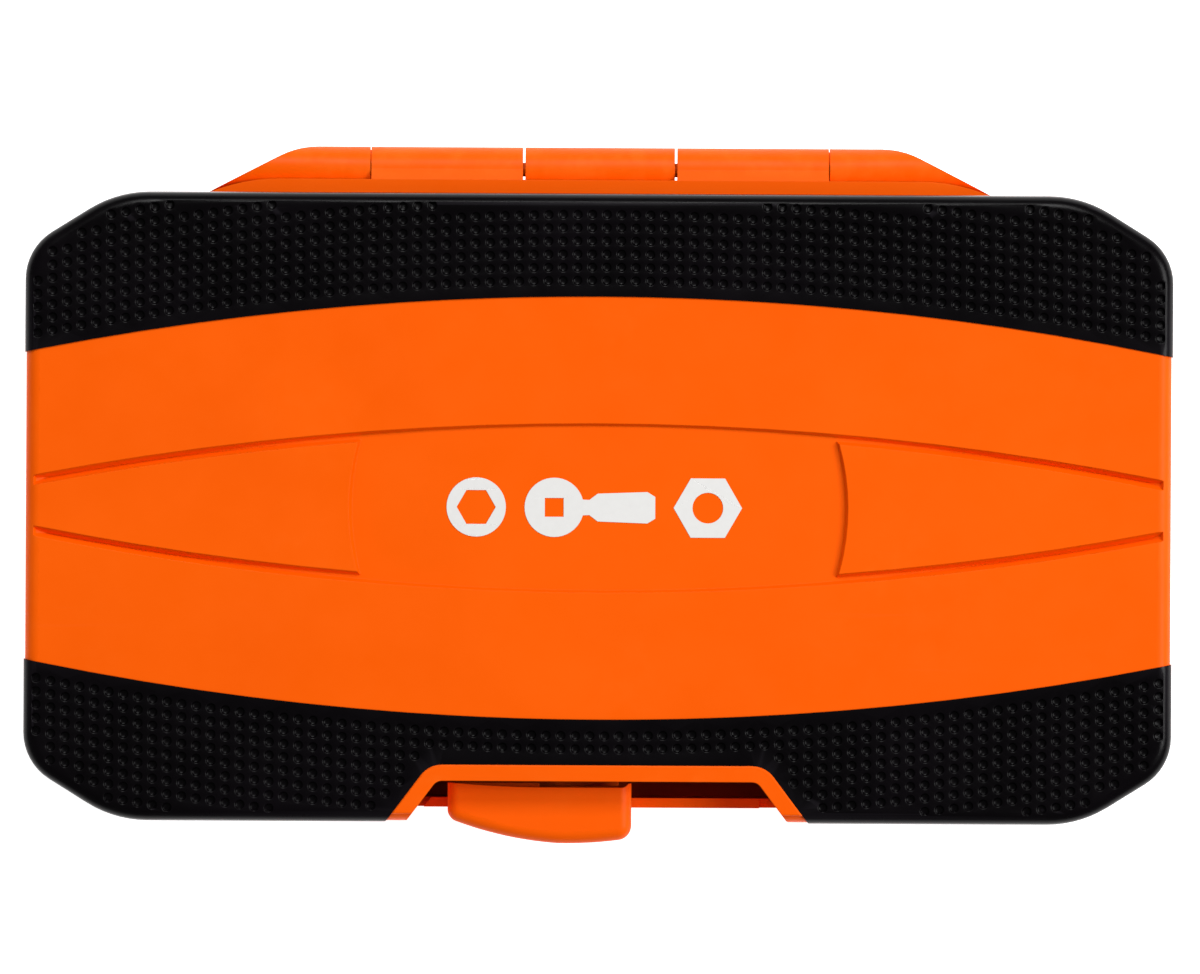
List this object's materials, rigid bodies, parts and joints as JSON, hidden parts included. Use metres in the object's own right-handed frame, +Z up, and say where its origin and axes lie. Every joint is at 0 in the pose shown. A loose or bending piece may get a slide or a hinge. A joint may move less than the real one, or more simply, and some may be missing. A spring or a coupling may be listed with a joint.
{
  "type": "socket wrench set in case",
  "caption": "Quarter-inch socket wrench set in an orange hinged plastic case with black rubber grips and a sliding latch.",
  "frame": {"origin": "middle of the case's flat underside", "axes": "+Z up, X along the hinge, the latch at the front at -Y, the hinge at the rear at +Y"},
  "size_m": [0.1904, 0.1153, 0.0446],
  "materials": {
    "orange": "satin moulded",
    "rubber": "matte",
    "tray": "closed-cell foam",
    "rack_plastic": "matte",
    "chrome": "satin chrome",
    "steel": "satin"
  },
  "bodies": {
    "base": {"base_shell": "orange", "base_grip_rear": "rubber", "base_grip_front": "rubber", "hinge_pins": "orange", "tool_tray": "tray"},
    "lid": {"lid_shell": "orange", "lid_grip_rear": "rubber", "lid_grip_front": "rubber"},
    "latch": {"latch_slider": "orange"},
    "ratchet": {"ratchet_body": "chrome", "ratchet_grip": "rubber", "ratchet_cover": "chrome", "cover_screws": "steel", "pawl_plunger": "steel", "pawl_spring": "steel"},
    "drive": {"drive_gear": "steel", "drive_ball": "steel", "button_spring": "steel"},
    "button": {"release_button": "steel"},
    "pawl_body": {"pawl": "steel"},
    "lever": {"reversing_lever": "steel"},
    "tbar": {"tbar_rod": "chrome"},
    "tbar_head": {"tbar_slider": "chrome", "tbar_ball": "steel"},
    "long_bar": {"extension_long": "chrome", "extension_long_ball": "steel"},
    "short_bar": {"extension_short": "chrome", "extension_short_ball": "steel"},
    "joint_body": {"joint_socket_yoke": "chrome"},
    "joint_centre": {"joint_cross": "steel", "joint_pins": "steel"},
    "joint_drive": {"joint_drive_yoke": "chrome", "joint_ball": "steel"},
    "adaptor": {"bit_adaptor": "chrome", "adaptor_magnet": "steel"},
    "rack": {"bit_rack": "rack_plastic", "bits_slotted": "steel", "bits_cross": "steel", "bits_hex": "steel", "bits_star": "steel"},
    "size_4": {"socket_4": "chrome"},
    "size_5": {"socket_5": "chrome"},
    "size_5_5": {"socket_5_5": "chrome"},
    "size_6": {"socket_6": "chrome"},
    "size_7": {"socket_7": "chrome"},
    "size_8": {"socket_8": "chrome"},
    "size_9": {"socket_9": "chrome"},
    "size_10": {"socket_10": "chrome"},
    "size_11": {"socket_11": "chrome"},
    "size_12": {"socket_12": "chrome"},
    "size_13": {"socket_13": "chrome"}
  },
  "joints": [
    {"name": "lid_hinge", "type": "hinge", "parent": "base", "child": "lid", "pos_m": [0, 0.0561, 0.0241], "axis": [-1, 0, 0], "range_deg": [0, 150]},
    {"name": "latch_slide", "type": "slide", "parent": "base", "child": "latch", "axis": [1, 0, 0], "range_m": [0, 0.019]},
    {"name": "ratchet_lift", "type": "slide", "parent": "base", "child": "ratchet", "axis": [0, 0, 1], "range_m": [0, 0.0115]},
    {"name": "drive_spin", "type": "hinge", "parent": "ratchet", "child": "drive", "pos_m": [-0.074, 0.0312, 0.0115], "axis": [0, 0, 1], "continuous": true},
    {"name": "release_press", "type": "slide", "parent": "drive", "child": "button", "axis": [0, 0, -1], "range_m": [0, 0.0011], "stiffness_N_per_m": 150, "springref_m": -0.002},
    {"name": "lever_turn", "type": "hinge", "parent": "ratchet", "child": "lever", "pos_m": [-0.0615, 0.0312, 0.027], "axis": [0, 0, 1], "range_deg": [-25, 25]},
    {"name": "pawl_rock", "type": "hinge", "parent": "ratchet", "child": "pawl_body", "pos_m": [-0.0615, 0.0312, 0.021], "axis": [0, 0, 1], "range_deg": [-4, 4]},
    {"name": "tbar_lift", "type": "slide", "parent": "base", "child": "tbar", "axis": [0, 0, 1], "range_m": [0, 0.0115]},
    {"name": "tbar_slide", "type": "slide", "parent": "tbar", "child": "tbar_head", "axis": [1, 0, 0], "range_m": [-0.046, 0.046]},
    {"name": "long_bar_lift", "type": "slide", "parent": "base", "child": "long_bar", "axis": [0, 0, 1], "range_m": [0, 0.0115]},
    {"name": "short_bar_lift", "type": "slide", "parent": "base", "child": "short_bar", "axis": [0, 0, 1], "range_m": [0, 0.0115]},
    {"name": "joint_lift", "type": "slide", "parent": "base", "child": "joint_body", "axis": [0, 0, 1], "range_m": [0, 0.0115]},
    {"name": "joint_swing", "type": "hinge", "parent": "joint_body", "child": "joint_centre", "pos_m": [0.036, -0.006, 0.02], "axis": [0, 0, 1], "range_deg": [-12, 12]},
    {"name": "joint_tilt", "type": "hinge", "parent": "joint_centre", "child": "joint_drive", "pos_m": [0.036, -0.006, 0.02], "axis": [0, -1, 0], "range_deg": [-20, 30]},
    {"name": "adaptor_lift", "type": "slide", "parent": "base", "child": "adaptor", "axis": [0, 0, 1], "range_m": [0, 0.0115]},
    {"name": "rack_lift", "type": "slide", "parent": "base", "child": "rack", "axis": [0, 0, 1], "range_m": [0, 0.0115]},
    {"name": "size_4_lift", "type": "slide", "parent": "base", "child": "size_4", "axis": [0, 0, 1], "range_m": [0, 0.0115]},
    {"name": "size_5_lift", "type": "slide", "parent": "base", "child": "size_5", "axis": [0, 0, 1], "range_m": [0, 0.0115]},
    {"name": "size_5_5_lift", "type": "slide", "parent": "base", "child": "size_5_5", "axis": [0, 0, 1], "range_m": [0, 0.0115]},
    {"name": "size_6_lift", "type": "slide", "parent": "base", "child": "size_6", "axis": [0, 0, 1], "range_m": [0, 0.0115]},
    {"name": "size_7_lift", "type": "slide", "parent": "base", "child": "size_7", "axis": [0, 0, 1], "range_m": [0, 0.0115]},
    {"name": "size_8_lift", "type": "slide", "parent": "base", "child": "size_8", "axis": [0, 0, 1], "range_m": [0, 0.0115]},
    {"name": "size_9_lift", "type": "slide", "parent": "base", "child": "size_9", "axis": [0, 0, 1], "range_m": [0, 0.0115]},
    {"name": "size_10_lift", "type": "slide", "parent": "base", "child": "size_10", "axis": [0, 0, 1], "range_m": [0, 0.0115]},
    {"name": "size_11_lift", "type": "slide", "parent": "base", "child": "size_11", "axis": [0, 0, 1], "range_m": [0, 0.0115]},
    {"name": "size_12_lift", "type": "slide", "parent": "base", "child": "size_12", "axis": [0, 0, 1], "range_m": [0, 0.0115]},
    {"name": "size_13_lift", "type": "slide", "parent": "base", "child": "size_13", "axis": [0, 0, 1], "range_m": [0, 0.0115]}
  ],
  "couplings": [
    {"joint": "pawl_rock", "follows": "lever_turn", "ratio": 0.16}
  ]
}
